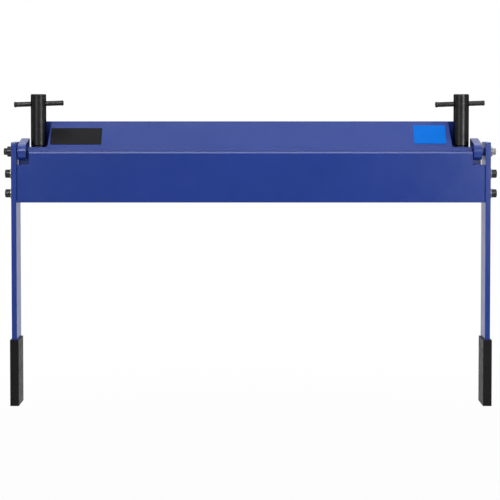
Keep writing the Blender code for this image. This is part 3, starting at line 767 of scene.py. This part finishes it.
BLACK_ACROSS = (-388.8 * MM, -289.3 * MM)
BLACK_UP = (15.6 * MM, 54.6 * MM)
AZURE_ACROSS = (320.2 * MM, 382.8 * MM)
AZURE_UP = (17.3 * MM, 61.0 * MM)
slope_plate("black_plate", BLACK_ACROSS, BLACK_UP, black_sheet, "black_steel")
slope_plate("azure_plate", AZURE_ACROSS, AZURE_UP, azure_sheet, "blue_paint")

# %% [markdown]
# ## Threads
# A thread could be a stack of rings, but a real one climbs. So a smooth rod is divided finely
# along its length, and each point is moved in by where it lies on the helix.

# %% Cutting a thread on a rod
def divide_rod(piece, low, high, step):
    """More rings between two heights, by dividing the long edges that run along the rod."""
    points = piece.data.vertices

    def runs_along(edge):
        first, second = (points[index].co for index in edge.vertices)
        straight = math.hypot(first.x - second.x, first.y - second.y) < 0.01 * MM
        return straight and abs(first.z - second.z) > 0.9 * (high - low)

    pick(piece, "EDGE", runs_along)
    bpy.ops.mesh.subdivide_edgering(number_cuts=round((high - low) / step) - 1, smoothness=0)
    done()


def thread(piece, radius, depth, pitch, low, high):
    """Moves a rod's points in by the thread's depth, along a helix between two heights."""
    for vertex in piece.data.vertices:
        point = vertex.co
        away = math.hypot(point.x, point.y)
        if away < radius - 0.02 * MM or not low <= point.z <= high:
            continue
        turned = math.atan2(point.y, point.x) / (2 * math.pi)
        phase = (point.z / pitch - turned) % 1.0
        groove = 1 - abs(2 * phase - 1)
        runout = max(0.0, min(1.0, (point.z - low) / pitch, (high - point.z) / pitch))
        keep = 1 - depth * groove * runout / away
        point.x *= keep
        point.y *= keep


# %% [markdown]
# ## The clamp screws
# On each side a threaded stud stands in a block under the bed. A tall sleeve nut runs on it and
# presses a washer on the clamp bar's foot, and a loose bar through the sleeve's head turns it.
# Both sides are alike, so each piece is modelled once and copied to its two places.

# %% Studs
PITCH = 2 * MM
THREAD_DEPTH = 1.1 * MM
AXIS = 0.4 * MM
CHAMFER = 1.5 * MM
BURR = 0.6 * MM
low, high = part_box("left_clamp_stud")
radius = (high.x - low.x) / 2
profile = [(AXIS, low.z), (radius - BURR, low.z), (radius, low.z + BURR), (radius, high.z - CHAMFER),
           (radius - CHAMFER, high.z), (AXIS, high.z)]
stud = turn("stud_master", profile, 32)
divide_rod(stud, low.z + BURR, high.z - CHAMFER, PITCH / 6)
thread(stud, radius, THREAD_DEPTH, PITCH, low.z + PITCH, high.z - CHAMFER)
even_shading(stud, 60)
for word in SIDES:
    node = word + "_clamp_stud"
    piece = copy_to(stud, word + "_threaded_stud", UNTURNED, axis_of(node))
    dress(piece, "bed", zinc, "zinc_steel", node)
bpy.data.objects.remove(stud)

# %% [markdown]
# The sleeve is turned with a blind bore that ends in the drill's cone. The hole for the bar is
# drilled through it afterwards, so the hole's rim has its true saddle shape.

# %% Sleeve nuts
BORE = 8.1 * MM
BORE_DEPTH = 55.6 * MM
DRILL_POINT = 4.6 * MM
HOLE_BELOW_TOP = 18.7 * MM
HOLE_RADIUS = 5.52 * MM
THROUGH = 20 * MM
low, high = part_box("left_clamp_nut")
radius = (high.x - low.x) / 2
bore_top = low.z + BORE_DEPTH
profile = [(AXIS, bore_top + DRILL_POINT), (BORE, bore_top), (BORE, low.z),
           (radius - CHAMFER, low.z), (radius, low.z + CHAMFER),
           (radius, high.z - CHAMFER), (radius - CHAMFER, high.z), (AXIS, high.z)]
sleeve = turn("sleeve_master", profile, 96)
hole = turn("hole_cutter", [(HOLE_RADIUS, -THROUGH), (HOLE_RADIUS, THROUGH)], 48)
lay(hole, (0, math.pi / 2, 0), (0, 0, high.z - HOLE_BELOW_TOP))
cut(sleeve, hole)
soften(sleeve, 0.4 * MM, 2, 38)
for word in SIDES:
    node = word + "_clamp_nut"
    piece = copy_to(sleeve, word + "_sleeve_nut", UNTURNED, axis_of(node))
    dress(piece, word + "_nut", black_sleeve, "black_steel", node)
bpy.data.objects.remove(sleeve)

# %% Pressure washers
WASHER_BORE = 8.5 * MM
low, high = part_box("left_thrust_washer")
ring = washer("washer_master", WASHER_BORE, (high.x - low.x) / 2, low.z, high.z)
for word in SIDES:
    node = word + "_thrust_washer"
    piece = copy_to(ring, word + "_pressure_washer", UNTURNED, axis_of(node))
    dress(piece, "clamp_bar", black_sleeve, "black_steel", node)
bpy.data.objects.remove(ring)

# %% [markdown]
# Both ends of the loose bar are upset with a hammer, so that it can't fall out. The left end is
# a little thicker than the right one, and the bar lies two degrees off level.

# %% Cross bars
BAR = 4.8 * MM
HALF = 48 * MM
LEFT_UPSET = 0.65 * MM
RIGHT_UPSET = 0.30 * MM
first, last = BAR + LEFT_UPSET, BAR + RIGHT_UPSET
profile = [(AXIS, -HALF), (first - 1.2 * MM, -HALF), (first - 0.3 * MM, 0.5 * MM - HALF),
           (first, 1.4 * MM - HALF), (first - 0.1 * MM, 3 * MM - HALF), (BAR, 5 * MM - HALF),
           (BAR, HALF - 5 * MM), (last, HALF - 3 * MM), (last, HALF - 1.3 * MM),
           (last - 0.3 * MM, HALF - 0.5 * MM), (last - 1.2 * MM, HALF), (AXIS, HALF)]
bar = turn("bar_master", profile, 48)
even_shading(bar, 60)
slide = next(joint["axis"] for joint in frame["joints"] if joint["name"] == "left_bar_slide")
tilt = math.atan2(slide[2], slide[0])
for word in SIDES:
    node = word + "_tommy_bar"
    piece = copy_to(bar, word + "_cross_bar", (0, math.pi / 2 - tilt, 0), tuple(middle_of(node)))
    dress(piece, word + "_bar", black_bar, "black_steel", node)
bpy.data.objects.remove(bar)

# %% [markdown]
# ## The lift springs
# A spring round each stud lifts the clamp bar when the sleeves are slackened. A coil is wound
# from one wire, so its centre line is a helix worked out by formula, given to a curve with the
# wire's thickness.

# %% Springs
WIRE = 1 * MM
COIL = 10.2 * MM
TURNS = 5.5
POINTS_A_TURN = 36
STEPS = round(TURNS * POINTS_A_TURN)
low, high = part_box("left_lift_spring")
wire = bpy.data.curves.new("spring_wire", "CURVE")
wire.dimensions = "3D"
wire.bevel_depth = WIRE
wire.bevel_resolution = 3
wire.use_fill_caps = True
line = wire.splines.new("POLY")
line.points.add(STEPS)
for number, point in enumerate(line.points):
    angle = 2 * math.pi * TURNS * number / STEPS
    rise = low.z + WIRE + (high.z - low.z - 2 * WIRE) * number / STEPS
    point.co = (COIL * math.cos(angle), COIL * math.sin(angle), rise, 1)
coil = bpy.data.objects.new("coil_master", wire)
scene.collection.objects.link(coil)
take(coil)
bpy.ops.object.convert(target="MESH")
coil = bpy.context.object
even_shading(coil, 60)
for word in SIDES:
    place = middle_of(word + "_clamp_stud")
    spring = copy_to(coil, word + "_coil_spring", UNTURNED, (place.x, place.y, 0))
    spring.data.materials.clear()
    spring.data.materials.append(spring_wire)
    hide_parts(word + "_lift_spring")
    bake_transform(spring)
    print(spring.name, "faces:", len(spring.data.polygons))
bpy.data.objects.remove(coil)

# %% [markdown]
# ## The pivots
# The leaf turns on a shoulder stud at each end. The studs differ, because the leaf sits a little
# to the right, and thick washers make up the difference outside, so both nuts end alike.

# %% Pivot studs and thick washers
THREAD = 4 * MM
THREAD_PITCH = 1.25 * MM
GROOVE = 0.65 * MM
POINT = 1 * MM
CLEARANCE = 0.2 * MM
OUTER_FINISH = {"left": (black_bar, "black_steel"), "right": (zinc, "zinc_steel")}
for word, side in SIDES.items():
    start, end = reach_of(word + "_pivot_stud")
    shoulder = reach_of(word + "_handle")[1]
    place = middle_of(word + "_pivot_stud")
    low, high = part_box(word + "_pivot_stud")
    radius = (high.z - low.z) / 2
    profile = [(AXIS, start), (radius - AXIS, start), (radius, start + AXIS), (radius, shoulder),
               (THREAD, shoulder), (THREAD, end - POINT), (THREAD - POINT, end), (AXIS, end)]
    stud = turn(word + "_shoulder_stud", profile, 48)
    divide_rod(stud, shoulder, end - POINT, THREAD_PITCH / 6)
    thread(stud, THREAD, GROOVE, THREAD_PITCH, shoulder + POINT, end + 2 * THREAD_PITCH)
    even_shading(stud, 60)
    lay(stud, outwards(side), (0, place.y, place.z))
    dress(stud, "bed", zinc, "zinc_steel", word + "_pivot_stud")
    near, far_end = reach_of(word + "_pivot_washer")
    low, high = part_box(word + "_pivot_washer")
    ring = washer(word + "_thick_washer", THREAD + CLEARANCE, (high.z - low.z) / 2, near, far_end)
    lay(ring, outwards(side), (0, place.y, place.z))
    dress(ring, "bed", *OUTER_FINISH[word], word + "_pivot_washer")

# %% [markdown]
# The nut is a six-sided bar whose corners are turned off by a cone at both ends. An intersection
# of the bar with a turned barrel gives just that curved edge.

# %% Hexagon nuts
ACROSS_FLATS = 13 * MM
CONE_START = 0.95
CONE_ANGLE = math.radians(30)
near, far_end = reach_of("left_pivot_nut")
height = far_end - near
corner = ACROSS_FLATS / math.sqrt(3)
bpy.ops.object.select_all(action="DESELECT")
bpy.ops.mesh.primitive_cylinder_add(vertices=6, radius=corner, depth=height, location=(0, 0, 0))
nut = bpy.context.object
nut.name = "nut_master"
flat = CONE_START * ACROSS_FLATS / 2
cone = (corner - flat) * math.tan(CONE_ANGLE)
past, top = 0.01 * MM, height / 2
barrel_profile = [(AXIS, -top - past), (flat, -top - past), (corner + past, cone - top),
                  (corner + past, top - cone), (flat, top + past), (AXIS, top + past)]
cut(nut, turn("barrel", barrel_profile, 96), "INTERSECT")
bore = THREAD + CLEARANCE / 2
cut(nut, turn("bore_cutter", [(bore, -2 * top), (bore, 2 * top)], 48))
soften(nut, 0.15 * MM, 2, 25)
for word, side in SIDES.items():
    place = middle_of(word + "_pivot_nut")
    piece = copy_to(nut, word + "_hexagon_nut", outwards(side), tuple(place))
    dress(piece, "bed", *OUTER_FINISH[word], word + "_pivot_nut")
bpy.data.objects.remove(nut)

# %% [markdown]
# ## The handle screws
# Two cap screws a side hold each handle on the leaf's end. The head has a fine straight knurl
# and a hexagon socket. Every second point round the head is pulled in for the knurl, and the
# socket is cut last.

# %% Cap screws
SHANK = 5 * MM
HEAD_HEIGHT = 10 * MM
SOCKET = 8 * MM
SOCKET_DEPTH = 5 * MM
KNURL_DEPTH = 0.22 * MM
KNURLS = 48
KNURL_START = 0.8 * MM
KNURL_STOP = 1.8 * MM
low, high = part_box("left_upper_handle_screw")
head = (high.z - low.z) / 2
tip = HEAD_HEIGHT - (high.x - low.x)
profile = [(AXIS, tip), (SHANK - 0.8 * MM, tip), (SHANK, tip + 0.8 * MM), (SHANK, 0),
           (head - 0.3 * MM, 0), (head, 0.3 * MM), (head, 0.9 * MM), (head, HEAD_HEIGHT - 1.9 * MM),
           (head, HEAD_HEIGHT - 1.2 * MM), (head - 0.35 * MM, HEAD_HEIGHT - 0.4 * MM),
           (head - 1.1 * MM, HEAD_HEIGHT), (AXIS, HEAD_HEIGHT)]
screw = turn("screw_master", profile, 2 * KNURLS)
for vertex in screw.data.vertices:
    point = vertex.co
    number = round(math.atan2(point.y, point.x) / math.pi * KNURLS)
    banded = KNURL_START < point.z < HEAD_HEIGHT - KNURL_STOP
    if banded and math.hypot(point.x, point.y) > head - 0.05 * MM and number % 2:
        point.x *= 1 - KNURL_DEPTH / head
        point.y *= 1 - KNURL_DEPTH / head
key = SOCKET / math.sqrt(3)
cut(screw, turn("key_cutter", [(key, HEAD_HEIGHT - SOCKET_DEPTH), (key, HEAD_HEIGHT + 2 * MM)], 6))
even_shading(screw, 28)

# %% The washer under a head, and all the copies
near, far_end = reach_of("left_upper_screw_washer")
low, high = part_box("left_upper_screw_washer")
ring = washer("plain_washer_master", SHANK + CLEARANCE, (high.z - low.z) / 2, 0, far_end - near)
for word, side in SIDES.items():
    for level in ("upper", "lower"):
        node = f"{word}_{level}_handle_screw"
        place = middle_of(node)
        under_head = side * (reach_of(node)[1] - HEAD_HEIGHT)
        name = f"{word}_{level}_cap_screw"
        piece = copy_to(screw, name, outwards(side), (under_head, place.y, place.z))
        dress(piece, "leaf", black_bar, "black_steel", node)
        node = f"{word}_{level}_screw_washer"
        seat = side * reach_of(node)[0]
        name = f"{word}_{level}_plain_washer"
        piece = copy_to(ring, name, outwards(side), (seat, place.y, place.z))
        dress(piece, "leaf", zinc, "zinc_steel", node)
bpy.data.objects.remove(screw)
bpy.data.objects.remove(ring)

# %% [markdown]
# ## The grips
# Each grip is a plastic sleeve pushed over the end of the handle bar, closed at the bottom. It
# starts as a block, its upright edges are rounded, its mouth is inset and pushed down to make
# the pocket that the bar sits in, and a last small bevel rounds the rims.

# %% Grips
WALL = 3.2 * MM
FIT = 0.3 * MM
GRIP_CORNER = 2.2 * MM
low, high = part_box("left_grip")
bpy.ops.object.select_all(action="DESELECT")
bpy.ops.mesh.primitive_cube_add(size=1, location=(0, 0, 0))
grip = bpy.context.object
grip.name = "grip_master"
grip.scale = tuple(high - low)
bpy.ops.object.transform_apply(location=True, rotation=True, scale=True)
corners = grip.data.vertices
pick(grip, "EDGE", lambda edge: corners[edge.vertices[0]].co.z * corners[edge.vertices[1]].co.z < 0)
bpy.ops.mesh.bevel(offset=GRIP_CORNER, segments=6)
pick(grip, "FACE", lambda polygon: polygon.normal.z > 0.9)
bpy.ops.mesh.inset(thickness=WALL - FIT)
bpy.ops.mesh.extrude_region_move(TRANSFORM_OT_translate={"value": (0, 0, low.z + WALL - high.z)})
face_outwards()
soften(grip, 0.5 * MM, 3, 40)
for word in SIDES:
    node = word + "_grip"
    piece = copy_to(grip, word + "_handle_grip", UNTURNED, tuple(middle_of(node)))
    dress(piece, "leaf", grip_plastic, "black_grip", node)
bpy.data.objects.remove(grip)

# %% Nothing left selected
bpy.ops.object.select_all(action="DESELECT")
